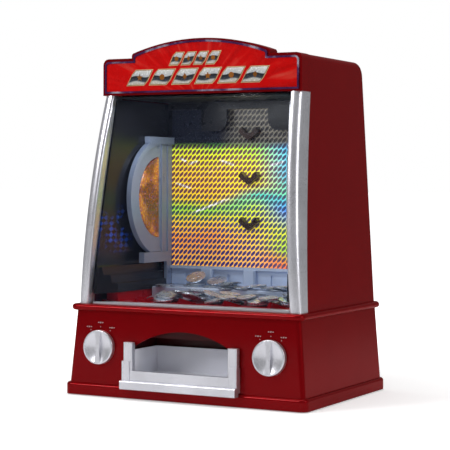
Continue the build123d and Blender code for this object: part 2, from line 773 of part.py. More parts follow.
def gear_face(teeth, backlash, addendum):
    """Outline of an involute spur gear about its own middle."""
    pressure = radians(20)
    pitch_r = GEAR_MODULE * teeth / 2
    base_r = pitch_r * cos(pressure)
    root_r = pitch_r - 1.2 * GEAR_MODULE
    tip_r = pitch_r + addendum * GEAR_MODULE
    half_tooth = pi / (2 * teeth) - backlash / (2 * pitch_r)

    def half_angle(radius):
        turn = acos(min(1, base_r / radius))
        return half_tooth + (tan(pressure) - pressure) - (tan(turn) - turn)
    flank = [max(base_r, root_r + 0.1) + (tip_r - max(base_r, root_r + 0.1)) * i / 4 for i in range(5)]
    points = []
    for tooth in range(teeth):
        middle = 2 * pi * tooth / teeth
        angles = [(root_r, -half_angle(flank[0]))] + [(r, -half_angle(r)) for r in flank]
        angles += [(r, half_angle(r)) for r in reversed(flank)] + [(root_r, half_angle(flank[0]))]
        points += [(r * cos(middle + a), r * sin(middle + a)) for r, a in angles]
    return outline(*points)


def cam_gear():
    body = Pos(0, CAM_Y, 0) * slab_z(gear_face(CAM_TEETH, 0.14, 0.85), GEAR_Z)
    for index in range(6):
        angle = radians(30 + 60 * index)
        body -= rod(12 * cos(angle), CAM_Y + 12 * sin(angle), (80, 90), 4)
    return body - rod(0, CAM_Y, (70, 95), CAM_AXLE_R + RUNNING_FIT)


def drive_pinion():
    half_tooth = degrees(pi / PINION_TEETH)
    teeth = Rot(0, 0, half_tooth) * slab_z(gear_face(PINION_TEETH, 0.14, 0.85), GEAR_Z)
    return Pos(PINION_X, CAM_Y, 0) * teeth + rod(PINION_X, CAM_Y, (70, GEAR_Z[1] + 1), 2)


BRACKET_Z = (76.5, 79.5)


def drive_bracket():
    """Plate hung under the floor that carries the motor and the cam axle."""
    plate = block((-40, 58), (36, 92), BRACKET_Z)
    for x in (-36, 54):
        for y in (40, 88):
            plate += rod(x, y, (BRACKET_Z[0], FLOOR - FLOOR_T), 3.5)
    plate -= rod(PINION_X, CAM_Y, (70, 90), 5)
    return plate - rod(0, CAM_Y, (70, 90), CAM_AXLE_R)


def cam_axle():
    pin = rod(0, CAM_Y, (74.9, 93.0), CAM_AXLE_R)
    return pin + rod(0, CAM_Y, (73.3, BRACKET_Z[0]), 4) + rod(0, CAM_Y, (79.5, 80.8), 4)


def gear_motor():
    case = block((16, 50), (46, 82), (56, BRACKET_Z[0]))
    case = fillet(case.edges().filter_by(Axis.Z), 3)
    can = Pos(33, 64, 42) * Cylinder(12, 28)
    return case + can - rod(PINION_X, CAM_Y, (69, 80), 2 + RUNNING_FIT)


# ---------------------------------------------------------------- drawer and knobs

def drawer_front():
    """The silver drawer face: two stepped posts, a lip between them and a low band."""
    back = -99.4
    band = block((-70, 70), (DRAWER_FRONT, -103.4), (11.5, 21))
    band += block((-70, 70), (DRAWER_FRONT + 1, back), (15.5, 21))
    band = fillet(band.edges().filter_by(Axis.X).group_by(Axis.Y)[0], 1.5)
    lip = block((-60.6, 60.6), (-106.5, back), (21, 31.5))
    face = band + lip
    for side in (-1, 1):
        wide = block(sorted((side * 60.5, side * 70)), (-108.2, back), (21, 42))
        tall = block(sorted((side * 58, side * 69)), (-105.8, back), (21, 62))
        tall = fillet(tall.edges().filter_by(Axis.Z).group_by(Axis.Y)[0], 1.5)
        wide = fillet(wide.edges().filter_by(Axis.Z).group_by(Axis.Y)[0], 1.5)
        face += wide + tall
    return face


def drawer_tray():
    outer = block((-DRAWER_HALF_W, DRAWER_HALF_W), (-99.4, DRAWER_BACK), (24.0, 54))
    room = block((-58, 58), (-97.4, DRAWER_BACK - 2), (26.4, 60))
    front_way = block((-58, 58), (-100, -97), (31.0, 60))
    return outer - room - front_way


def drawer_rails():
    """Two L-shaped runners on the bay walls that the tray slides on."""
    rail = block((60.3, BAY_HALF_W - 2), (-92.4, BAY_BACK - 2.2), (20, 40))
    rail += block((54, 60.4), (-92.4, BAY_BACK - 2.2), (20, 23.8))
    return group(both_sides(rail))


def knob(side):
    """A ring-rimmed dial with a grip bar between two scoops."""
    dial = Cylinder(KNOB_R, KNOB_H, align=(Align.CENTER, Align.CENTER, Align.MIN))
    dial = fillet(dial.edges().group_by(Axis.Z)[-1], 1.2)
    scoop = Pos(0, 0, KNOB_H + KNOB_DISH_R - KNOB_DISH_DEPTH) * Sphere(KNOB_DISH_R)
    dish = scoop & Cylinder(KNOB_R - 2, 60)
    bar = Box(4.6, 2 * KNOB_R + 2, 40)
    for end in (-1, 1):
        tip = end * (KNOB_R + 2)
        flare = outline((-2.3, end * 8), (-4.6, tip), (4.6, tip), (2.3, end * 8))
        bar += extrude(flare, 20, both=True)
    dial -= dish - bar
    return knob_plane(side, 0.3) * dial


def knob_shaft(side):
    """The spindle that the knob is pressed on."""
    spindle = Pos(0, 0, -9.7) * Cylinder(2.8, 20)
    return knob_plane(side, 0.0) * spindle


def rotary_switches():
    """The two switches behind the front wall that the spindles turn in."""
    switches = []
    for side in (-1, 1):
        body = Pos(0, 0, -13) * Box(22, 22, 14) + Pos(0, 0, -4.5) * Cylinder(5.5, 3.2)
        body -= Pos(0, 0, -10) * Cylinder(2.8 + RUNNING_FIT, 26)
        switches.append(knob_plane(side, 0.0) * body)
    return group(switches)


# ---------------------------------------------------------------- coin slot

def coin_slot_bezel():
    """The slot on top, where a coin goes in on edge."""
    flange = Pos(0, SLOT_Y, CABINET_TOP + 1) * Box(46, 20, 2)
    flange = fillet(flange.edges().filter_by(Axis.Z), 4)
    neck = Pos(0, SLOT_Y, CABINET_TOP - 2) * Box(36, 11, 5)
    slot = Pos(0, SLOT_Y, CABINET_TOP) * Box(28, 4.8, 12)
    return flange + neck - slot


def coin_chute():
    """Guide from the slot down to the throat, behind the header plate."""
    outer = block((-17, 17), (53.6, 61.4), (ROOF_Z + 2, CABINET_TOP - 4.5))
    return outer - block((-14, 14), (55.1, 59.9), (300, 380))


# ---------------------------------------------------------------- write the parts

save("base_housing", base_housing())
save("base_plate", base_plate())
save("rubber_feet", rubber_feet())
save("case_screws", case_screws())
save("battery_box", battery_box())
save("battery_door", battery_door())
save("battery_contacts", battery_contacts())
save("main_board", main_board())
save("speaker", speaker())
save("cabinet_shell", cabinet_shell())
save("rear_cover", rear_cover())
save("front_window", front_window())
save("marquee_frame", marquee_frame())
save("marquee_panel", marquee_panel())
save("marquee_trim", marquee_trim())
save("header_panel", header_panel())
save("backboard", backboard())
save("hologram_sheet", hologram_sheet())
save("coin_deflectors", coin_deflectors())
for stem, make in (("pillar", pillar), ("side_panel", side_panel), ("lamp_housing", lamp_housing),
                   ("lamp_lens", lamp_lens)):
    right, left = both_sides(make())
    save(f"{stem}_right", right)
    save(f"{stem}_left", left)
save("lamp_boards", lamp_boards())
save("wiper_fascia", wiper_fascia())
save("playfield_tray", playfield_tray())
save("playfield_lip", playfield_lip())
save("coin_dividers", coin_dividers())
save("pusher_guides", pusher_guides())
save("bay_liner", bay_liner())
save("payout_chute", payout_chute())
save("payout_wings", payout_wings())
save("coins_on_playfield", coins_on_playfield())
save("coins_on_pusher", coins_on_pusher())
save("coins_at_fascia", coins_at_fascia())
save("pusher_plate", pusher_plate())
save("pusher_yoke", pusher_yoke())
save("follower_pins", follower_pins())
save("heart_cam", heart_cam())
save("cam_gear", cam_gear())
save("drive_pinion", drive_pinion())
save("drive_bracket", drive_bracket())
save("cam_axle", cam_axle())
save("gear_motor", gear_motor())
save("drawer_front", drawer_front())
save("drawer_tray", drawer_tray())
save("drawer_rails", drawer_rails())
for word, side in (("left", -1), ("right", 1)):
    save(f"knob_{word}", knob(side))
    save(f"knob_shaft_{word}", knob_shaft(side))
save("rotary_switches", rotary_switches())
save("coin_slot_bezel", coin_slot_bezel())
save("coin_chute", coin_chute())
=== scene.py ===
import math
import random

import bpy
import bmesh
from mathutils import Matrix, Vector


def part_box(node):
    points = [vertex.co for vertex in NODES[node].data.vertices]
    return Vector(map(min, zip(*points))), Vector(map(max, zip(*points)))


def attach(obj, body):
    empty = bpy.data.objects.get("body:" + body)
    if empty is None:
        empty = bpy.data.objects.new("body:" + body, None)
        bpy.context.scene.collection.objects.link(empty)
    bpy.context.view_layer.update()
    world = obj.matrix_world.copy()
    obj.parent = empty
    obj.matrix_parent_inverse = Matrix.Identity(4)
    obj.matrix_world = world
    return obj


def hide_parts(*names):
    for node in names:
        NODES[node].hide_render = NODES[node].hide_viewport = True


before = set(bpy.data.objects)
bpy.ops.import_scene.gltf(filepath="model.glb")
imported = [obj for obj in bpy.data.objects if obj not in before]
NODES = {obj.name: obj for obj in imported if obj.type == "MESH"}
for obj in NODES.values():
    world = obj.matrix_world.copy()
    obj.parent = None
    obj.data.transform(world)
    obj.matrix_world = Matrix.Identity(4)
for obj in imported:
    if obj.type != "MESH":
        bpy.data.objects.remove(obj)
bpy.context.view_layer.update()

MM = 0.001
COIN_RADIUS = 11.5 * MM
COIN_THICKNESS = 1.7 * MM


# ---------------------------------------------------------------- camera

CAMERA_YAW = math.radians(28.06)
CAMERA_PITCH = math.radians(1.63)
CAMERA_ROLL = math.radians(0.243)
CAMERA_DISTANCE = 1.7125
CAMERA_TARGET = Vector((-0.00636, 0.004, 0.18724))
LENS = 122.26


def add_camera():
    """The camera to the right of the front, a little above the middle of the machine."""
    data = bpy.data.cameras.new("camera")
    camera = bpy.data.objects.new("camera", data)
    bpy.context.scene.collection.objects.link(camera)
    data.lens = LENS
    data.sensor_width = 36
    data.shift_x = 0.0051
    data.shift_y = -0.0007
    data.clip_start = 0.05
    data.clip_end = 50
    flat = math.cos(CAMERA_PITCH)
    back = Vector((math.sin(CAMERA_YAW) * flat, -math.cos(CAMERA_YAW) * flat, math.sin(CAMERA_PITCH)))
    right = (-back).cross(Vector((0, 0, 1))).normalized()
    up = right.cross(-back)
    c, s = math.cos(CAMERA_ROLL), math.sin(CAMERA_ROLL)
    right, up = right * c + up * s, up * c - right * s
    turn = Matrix((right, up, back)).transposed().to_4x4()
    camera.matrix_world = Matrix.Translation(CAMERA_TARGET + back * CAMERA_DISTANCE) @ turn
    bpy.context.scene.camera = camera


# ---------------------------------------------------------------- node helpers

class Shader:
    """A material's node tree with short ways to add maths, noise and ramps."""

    def __init__(self, name, **sockets):
        self.material = bpy.data.materials.new(name)
        self.material.use_nodes = True
        self.tree = self.material.node_tree
        self.bsdf = self.tree.nodes["Principled BSDF"]
        for key, value in sockets.items():
            self.set(key, value)

    def set(self, key, value):
        """Set or link one input of the main shader; the key is its label with underscores."""
        self.feed(self.bsdf.inputs[key.replace("_", " ")], value)

    def feed(self, socket, value):
        if isinstance(value, bpy.types.NodeSocket):
            self.tree.links.new(value, socket)
        else:
            socket.default_value = value

    def node(self, kind, **settings):
        made = self.tree.nodes.new(kind)
        for key, value in settings.items():
            setattr(made, key, value)
        return made

    def math(self, operation, a, b=0.0):
        made = self.node("ShaderNodeMath", operation=operation)
        self.feed(made.inputs[0], a)
        self.feed(made.inputs[1], b)
        return made.outputs[0]

    def length(self, a, b):
        """How long the vector (a, b) is."""
        squares = self.math("ADD", self.math("MULTIPLY", a, a), self.math("MULTIPLY", b, b))
        return self.math("SQRT", squares)

    def position(self):
        """The place on the piece in its own axes, in metres, as x, y and z."""
        coords = self.node("ShaderNodeTexCoord").outputs["Object"]
        split = self.node("ShaderNodeSeparateXYZ")
        self.tree.links.new(coords, split.inputs[0])
        return split.outputs[0], split.outputs[1], split.outputs[2]

    def vector(self, x, y, z):
        made = self.node("ShaderNodeCombineXYZ")
        for socket, value in zip(made.inputs, (x, y, z)):
            self.feed(socket, value)
        return made.outputs[0]

    def noise(self, scale, detail=3.0, vector=None, rough=0.5):
        made = self.node("ShaderNodeTexNoise")
        made.inputs["Scale"].default_value = scale
        made.inputs["Detail"].default_value = detail
        made.inputs["Roughness"].default_value = rough
        if vector is None:
            vector = self.node("ShaderNodeTexCoord").outputs["Object"]
        self.tree.links.new(vector, made.inputs["Vector"])
        return made.outputs["Fac"]

    def spread(self, value, low, high, to_low=0.0, to_high=1.0, smooth=True):
        made = self.node("ShaderNodeMapRange")
        made.interpolation_type = "SMOOTHSTEP" if smooth else "LINEAR"
        for index, number in enumerate((value, low, high, to_low, to_high)):
            self.feed(made.inputs[index], number)
        return made.outputs[0]

    def ramp(self, value, stops):
        made = self.node("ShaderNodeValToRGB")
        points = made.color_ramp.elements
        while len(points) < len(stops):
            points.new(0.5)
        for point, (place, colour) in zip(points, stops):
            point.position = place
            point.color = (*colour, 1.0)
        self.tree.links.new(value, made.inputs[0])
        return made.outputs[0]

    def mix(self, factor, a, b):
        made = self.node("ShaderNodeMix", data_type="RGBA")
        self.feed(made.inputs["Factor"], factor)
        for socket, value in ((made.inputs[6], a), (made.inputs[7], b)):
            self.feed(socket, value if isinstance(value, bpy.types.NodeSocket) else (*value, 1.0))
        return made.outputs[2]

    def bump(self, height, strength, distance):
        made = self.node("ShaderNodeBump")
        made.inputs["Strength"].default_value = strength
        made.inputs["Distance"].default_value = distance
        self.tree.links.new(height, made.inputs["Height"])
        self.tree.links.new(made.outputs[0], self.bsdf.inputs["Normal"])


def moulded(name, colour, roughness, variation=0.12, grain=0.0, coat=0.0, metallic=0.0, specular=0.5,
            tint=(1.0, 1.0, 1.0), uneven=0.15):
    """Moulded or painted plastic: slight tone changes, uneven gloss and a fine skin."""
    shader = Shader(name, Metallic=metallic)
    shader.bsdf.inputs["Specular IOR Level"].default_value = specular
    shader.bsdf.inputs["Specular Tint"].default_value = (*tint, 1.0)
    broad = shader.noise(14, 2)
    darker = tuple(c * (1 - variation) for c in colour)
    lighter = tuple(min(1.0, c * (1 + variation)) for c in colour)
    shader.set("Base_Color", shader.mix(shader.spread(broad, 0.35, 0.65), darker, lighter))
    low, high = roughness * (1 - uneven), min(1.0, roughness * (1 + uneven))
    shader.set("Roughness", shader.spread(shader.noise(60, 5), 0.3, 0.7, low, high))
    shader.bsdf.inputs["Coat Weight"].default_value = coat
    shader.bsdf.inputs["Coat Roughness"].default_value = 0.06
    if grain:
        shader.bump(shader.noise(900, 4), grain, 0.0002)
    return shader.material


def satin_silver():
    """Silver paint with fine flake and faint cloudiness."""
    shader = Shader("satin_silver", Metallic=0.86)
    flake = shader.noise(2600, 1)
    cloud = shader.noise(30, 3)
    tone = shader.math("ADD", shader.math("MULTIPLY", flake, 0.35), shader.math("MULTIPLY", cloud, 0.65))
    shader.set("Base_Color", shader.ramp(tone, ((0.3, (0.64, 0.64, 0.69)), (0.7, (0.82, 0.82, 0.88)))))
    shader.set("Roughness", shader.spread(flake, 0.3, 0.7, 0.24, 0.36))
    shader.bump(flake, 0.05, 0.0001)
    return shader.material


def coin_metal():
    """Stamped token steel, worn brighter and duller in patches."""
    shader = Shader("token_metal", Metallic=0.75)
    patch = shader.noise(90, 3)
    shader.set("Base_Color", shader.ramp(patch, ((0.3, (0.38, 0.43, 0.51)), (0.7, (0.72, 0.78, 0.88)))))
    shader.set("Roughness", shader.spread(shader.noise(200, 3), 0.3, 0.7, 0.24, 0.36))
    shader.bump(shader.noise(1200, 2), 0.02, 0.0001)
    return shader.material


def clear_sheet():
    """Clear moulded window, nearly invisible but for its gloss."""
    shader = Shader("clear_sheet", Alpha=0.08)
    shader.bsdf.inputs["Specular IOR Level"].default_value = 0.18
    haze = shader.noise(20, 3)
    shader.set("Roughness", shader.spread(haze, 0.3, 0.7, 0.02, 0.05))
    shader.set("Base_Color", shader.mix(haze, (0.02, 0.03, 0.06), (0.04, 0.05, 0.08)))
    return shader.material


# ---------------------------------------------------------------- hologram film

CELL_W = 5.6 * MM
CELL_H = 6.5 * MM
# The heights between which the hues run, and where the lit part ends and the painted shade begins
FILM_HUES = (0.136, 0.286)
FILM_LIT_TOP = 0.276


# Where painted highlights of light glancing off the film lie, as the two ends (x, z) of each streak in
# millimetres
SPARKLES = (((-84, 196), (-23, 218)), ((-43, 261), (-20, 254)), ((-85, 255), (-69, 260)),
            ((-102, 234), (-77, 227)), ((22, 254), (44, 259)), ((-96, 264), (-84, 258)))


def sparkle(shader, x, z, start, end):
    """One painted highlight, a glancing streak of light: 1 along its line, fading to its ends and sides."""
    mid_x, mid_z = (start[0] + end[0]) / 2000, (start[1] + end[1]) / 2000
    run, rise = (end[0] - start[0]) / 1000, (end[1] - start[1]) / 1000
    length = math.hypot(run, rise)
    run, rise = run / length, rise / length

    def offset(x_share, z_share):
        turned = shader.math("ADD", shader.math("MULTIPLY", x, x_share), shader.math("MULTIPLY", z, z_share))
        return shader.math("ABSOLUTE", shader.math("SUBTRACT", turned, mid_x * x_share + mid_z * z_share))

    along = shader.spread(offset(run, rise), length / 2, length / 5)
    across = shader.spread(offset(-rise, run), 0.0019, 0.0005)
    return shader.math("MULTIPLY", along, across)


def hologram_film():
    """Rainbow film: rows of bright zigzag lines with oval cells, its hue drifting over the sheet; glints,
    streaks, shade at the top and a glow are painted on.
    """
    shader = Shader("hologram_film", Metallic=0.4)
    x, _, z = shader.position()
    drift = shader.noise(9, 2)
    wobble = shader.math("MULTIPLY", shader.math("SUBTRACT", drift, 0.5), 0.05)
    height = shader.spread(shader.math("ADD", z, wobble), *FILM_HUES, smooth=False)

    left = shader.ramp(height, (
        (0.00, (0.85, 0.42, 0.05)), (0.22, (0.95, 0.34, 0.02)), (0.36, (0.95, 0.62, 0.02)),
        (0.46, (0.35, 0.72, 0.05)), (0.54, (0.95, 0.62, 0.02)), (0.72, (0.95, 0.60, 0.03)),
        (0.88, (0.80, 0.85, 0.02)), (0.97, (0.10, 0.70, 0.08))))
    right = shader.ramp(height, (
        (0.00, (0.95, 0.15, 0.03)), (0.10, (0.35, 0.75, 0.05)), (0.26, (0.70, 0.75, 0.05)),
        (0.42, (0.05, 0.25, 0.90)), (0.54, (0.15, 0.75, 0.45)), (0.70, (0.05, 0.45, 0.75)),
        (0.85, (0.12, 0.60, 0.80)), (0.97, (0.03, 0.22, 0.90))))
    middle = shader.ramp(height, (
        (0.00, (0.90, 0.45, 0.10)), (0.20, (0.95, 0.68, 0.04)), (0.40, (0.60, 0.80, 0.03)),
        (0.50, (0.05, 0.60, 0.50)), (0.58, (0.85, 0.72, 0.04)), (0.75, (0.80, 0.80, 0.03)),
        (0.90, (0.40, 0.80, 0.06)), (0.97, (0.06, 0.60, 0.20))))
    hue = shader.mix(shader.spread(x, -0.06, 0.02), left, middle)
    hue = shader.mix(shader.spread(x, 0.0, 0.055), hue, right)

    oval_left = shader.ramp(height, (
        (0.00, (0.06, 0.04, 0.26)), (0.30, (0.12, 0.08, 0.26)), (0.45, (0.06, 0.18, 0.15)),
        (0.60, (0.26, 0.10, 0.12)), (0.80, (0.27, 0.12, 0.12)), (0.97, (0.07, 0.07, 0.09))))
    oval_right = shader.ramp(height, (
        (0.00, (0.30, 0.16, 0.18)), (0.25, (0.10, 0.24, 0.12)), (0.42, (0.05, 0.07, 0.34)),
        (0.60, (0.10, 0.20, 0.20)), (0.80, (0.03, 0.15, 0.28)), (0.97, (0.03, 0.07, 0.26))))
    oval = shader.mix(shader.spread(x, -0.01, 0.07), oval_left, oval_right)

    row = shader.math("DIVIDE", z, CELL_H)
    column = shader.math("DIVIDE", x, CELL_W)
    dx = shader.math("SUBTRACT", shader.math("FRACT", column), 0.5)
    slant = shader.math("MULTIPLY", dx, 0.42)
    dz = shader.math("SUBTRACT", shader.math("FRACT", shader.math("SUBTRACT", row, slant)), 0.5)
    a = shader.math("MULTIPLY", shader.math("SUBTRACT", dx, shader.math("MULTIPLY", dz, 0.50)), 0.96)
    b = shader.math("MULTIPLY", dz, 1.52)
    reach = shader.length(a, b)
    line = shader.spread(reach, 0.48, 0.59)
    # Painted highlights: small white glints, bright streaks along the lines and the listed glancing streaks
    # are mixed into the film's colour.
    glints = shader.node("ShaderNodeTexVoronoi", feature="F1")
    glints.inputs["Scale"].default_value = 170
    shader.feed(glints.inputs["Vector"], shader.node("ShaderNodeTexCoord").outputs["Object"])
    painted_flash = shader.spread(glints.outputs["Distance"], 0.10, 0.02)
    streak = shader.noise(1, 2, shader.vector(
        shader.math("MULTIPLY", shader.math("SUBTRACT", x, shader.math("MULTIPLY", z, 1.6)), 10.0), 0.0,
        shader.math("MULTIPLY", shader.math("ADD", z, shader.math("MULTIPLY", x, -0.5)), 70.0)))
    streak = shader.spread(streak, 0.70, 0.80)
    colour = shader.mix(line, oval, hue)
    colour = shader.mix(shader.math("MULTIPLY", streak, shader.spread(line, 0.1, 0.9, 0.35, 0.95)),
                        colour, (0.92, 0.90, 0.95))
    colour = shader.mix(shader.math("MULTIPLY", painted_flash, 0.5), colour, (0.95, 0.95, 0.95))
    for start, end in SPARKLES:
        glare = sparkle(shader, x, z, start, end)
        colour = shader.mix(shader.math("MULTIPLY", glare, shader.spread(line, 0.0, 0.8, 0.35, 0.9)),
                            colour, (0.95, 0.93, 0.97))
    # Painted shade: above the lit top the film turns to dim tan lines on near black, darker still towards the
    # left, and its glow weakens there.
    shade = shader.spread(z, FILM_LIT_TOP - 0.004, FILM_LIT_TOP + 0.006)
    painted_shade_tone = shader.mix(line, (0.035, 0.032, 0.034), (0.16, 0.145, 0.115))
    painted_shade_tone = shader.mix(shader.spread(x, -0.045, -0.015), (0.010, 0.012, 0.022), painted_shade_tone)
    colour = shader.mix(shade, colour, painted_shade_tone)
    shade_lit = shader.math("SUBTRACT", 1.0, shader.math("MULTIPLY", shade, 0.6))
    shader.set("Base_Color", colour)
    # Painted light: the film is no lamp, yet it glows, mostly along its bright lines and less under the
    # painted shade at the top.
    lit = shader.mix(shader.math("MULTIPLY", line, shade_lit), (0.0, 0.0, 0.0), colour)
    shader.set("Emission_Color", shader.mix(0.20, lit, colour))
    shader.bsdf.inputs["Emission Strength"].default_value = 0.95
    shader.set("Roughness", shader.spread(shader.noise(300, 2), 0.3, 0.7, 0.25, 0.40))
    shader.bump(line, 0.25, 0.0003)
    return shader.material


def side_gloss():
    """Gloss black panel with a painted faint blue rainbow reflection of the film low at its front, in its
    colour and glow.
    """
    shader = Shader("side_gloss", Roughness=0.22)
    shader.bsdf.inputs["Specular IOR Level"].default_value = 0.35
    _, y, z = shader.position()
    column = shader.math("SUBTRACT", shader.math("FRACT", shader.math("DIVIDE", y, 2 * CELL_W)), 0.5)
    row = shader.math("SUBTRACT", shader.math("FRACT", shader.math("DIVIDE", z, CELL_H)), 0.5)
    reach = shader.math("ADD", shader.math("ABSOLUTE", column), shader.math("ABSOLUTE", row))
    mesh = shader.spread(reach, 0.42, 0.62)
    # Painted reflection: the film's blue mesh, seen in the black panel, is confined low and near the front,
    # patchy, mixed into the colour and made to glow.
    low = shader.math("MULTIPLY", shader.spread(z, 0.150, 0.172), shader.spread(z, 0.215, 0.190))
    near = shader.spread(y, 0.0, -0.045)
    patchy = shader.spread(shader.noise(45, 3), 0.42, 0.62)
    painted_flash = shader.math("MULTIPLY", shader.math("MULTIPLY", mesh, low), shader.math("MULTIPLY", near, patchy))
    colour = shader.mix(painted_flash, (0.012, 0.012, 0.015), (0.010, 0.045, 0.26))
    shader.set("Base_Color", colour)
    shader.set("Emission_Color", shader.mix(painted_flash, (0.0, 0.0, 0.0), (0.004, 0.035, 0.26)))
    shader.bsdf.inputs["Emission Strength"].default_value = 0.5
    shader.bump(shader.noise(900, 3), 0.03, 0.0001)
    return shader.material


def amber_lens():
    """Amber lens with prismatic facets that sparkle."""
    shader = Shader("amber_lens", Metallic=0.0)
    cells = shader.node("ShaderNodeTexVoronoi", feature="F1")
    cells.inputs["Scale"].default_value = 380
    shader.feed(cells.inputs["Vector"], shader.node("ShaderNodeTexCoord").outputs["Object"])
    glow = shader.spread(shader.noise(30, 3), 0.44, 0.60)
    facet = shader.spread(cells.outputs["Distance"], 0.15, 0.60)
    deep = shader.mix(glow, (0.10, 0.018, 0.012), (0.55, 0.15, 0.015))
    colour = shader.mix(facet, shader.mix(glow, (0.42, 0.12, 0.02), (1.0, 0.52, 0.09)), deep)
    violet = shader.spread(shader.noise(420, 2), 0.56, 0.66)
    colour = shader.mix(shader.math("MULTIPLY", violet, 0.55), colour, (0.34, 0.10, 0.34))
    shader.set("Base_Color", colour)
    shader.set("Emission_Color", colour)
    shader.bsdf.inputs["Emission Strength"].default_value = 0.25
    shader.set("Roughness", shader.spread(cells.outputs["Distance"], 0.0, 0.7, 0.12, 0.35))
    shader.bsdf.inputs["Coat Weight"].default_value = 0.6
    shader.bump(cells.outputs["Distance"], 0.6, 0.0006)
    return shader.material


SIGN_CENTRE = (0.0, 0.352)


def sign_print():
    """Bright red print with streaks that fan out from the middle of the sign."""
    shader = Shader("sign_print", Metallic=0.0)
    x, _, z = shader.position()
    dx = shader.math("SUBTRACT", x, SIGN_CENTRE[0])
    dz = shader.math("SUBTRACT", z, SIGN_CENTRE[1] - 0.03)
    angle = shader.math("ARCTAN2", dz, dx)
    distance = shader.length(dx, dz)
    fan = shader.vector(shader.math("MULTIPLY", angle, 9.0), shader.math("MULTIPLY", distance, 14.0), 0.0)
    rays = shader.noise(1, 3, fan)
    shader.set("Base_Color", shader.ramp(rays, (
        (0.35, (0.50, 0.001, 0.001)), (0.55, (0.62, 0.002, 0.002)), (0.74, (0.66, 0.06, 0.04)))))
    shader.set("Roughness", shader.spread(shader.noise(80, 4), 0.3, 0.7, 0.22, 0.32))
    shader.bsdf.inputs["Specular IOR Level"].default_value = 0.12
    return shader.material


def chrome(name, horizon_low, horizon_high):
    """Printed chrome: white above, a dark horizon band, pale below, by height on the sign."""
    shader = Shader(name, Metallic=0.3)
    x, _, z = shader.position()
    wave = shader.math("MULTIPLY", shader.math("SINE", shader.math("MULTIPLY", x, 260.0)), 0.0009)
    level = shader.spread(shader.math("ADD", z, wave), horizon_low, horizon_high, smooth=False)
    shader.set("Base_Color", shader.ramp(level, (
        (0.00, (0.62, 0.55, 0.42)), (0.20, (0.66, 0.64, 0.60)), (0.30, (0.05, 0.06, 0.08)),
        (0.56, (0.015, 0.015, 0.02)), (0.60, (0.62, 0.64, 0.66)), (1.00, (0.90, 0.90, 0.86)))))
    shader.set("Roughness", shader.spread(shader.noise(500, 3), 0.3, 0.7, 0.18, 0.30))
    return shader.material


def bead_trim():
    """Thin dark bead with a violet sheen and painted bright glints in its colour."""
    shader = Shader("bead_trim", Metallic=0.85)
    # Painted highlights: the palest noise turns the bead near white.
    glint = shader.noise(34, 4)
    shader.set("Base_Color", shader.ramp(glint, (
        (0.40, (0.10, 0.02, 0.10)), (0.54, (0.16, 0.05, 0.20)), (0.66, (0.75, 0.68, 0.85)))))
    shader.set("Roughness", shader.spread(shader.noise(200, 3), 0.3, 0.7, 0.12, 0.25))
    return shader.material


# ---------------------------------------------------------------- materials on the CAD nodes

def dress(material, *names):
    for name in names:
        node = NODES[name]
        node.data.materials.clear()
        node.data.materials.append(material)


CRIMSON = (0.215, 0.0010, 0.0030)
RED_SHEEN = (1.0, 0.12, 0.16)


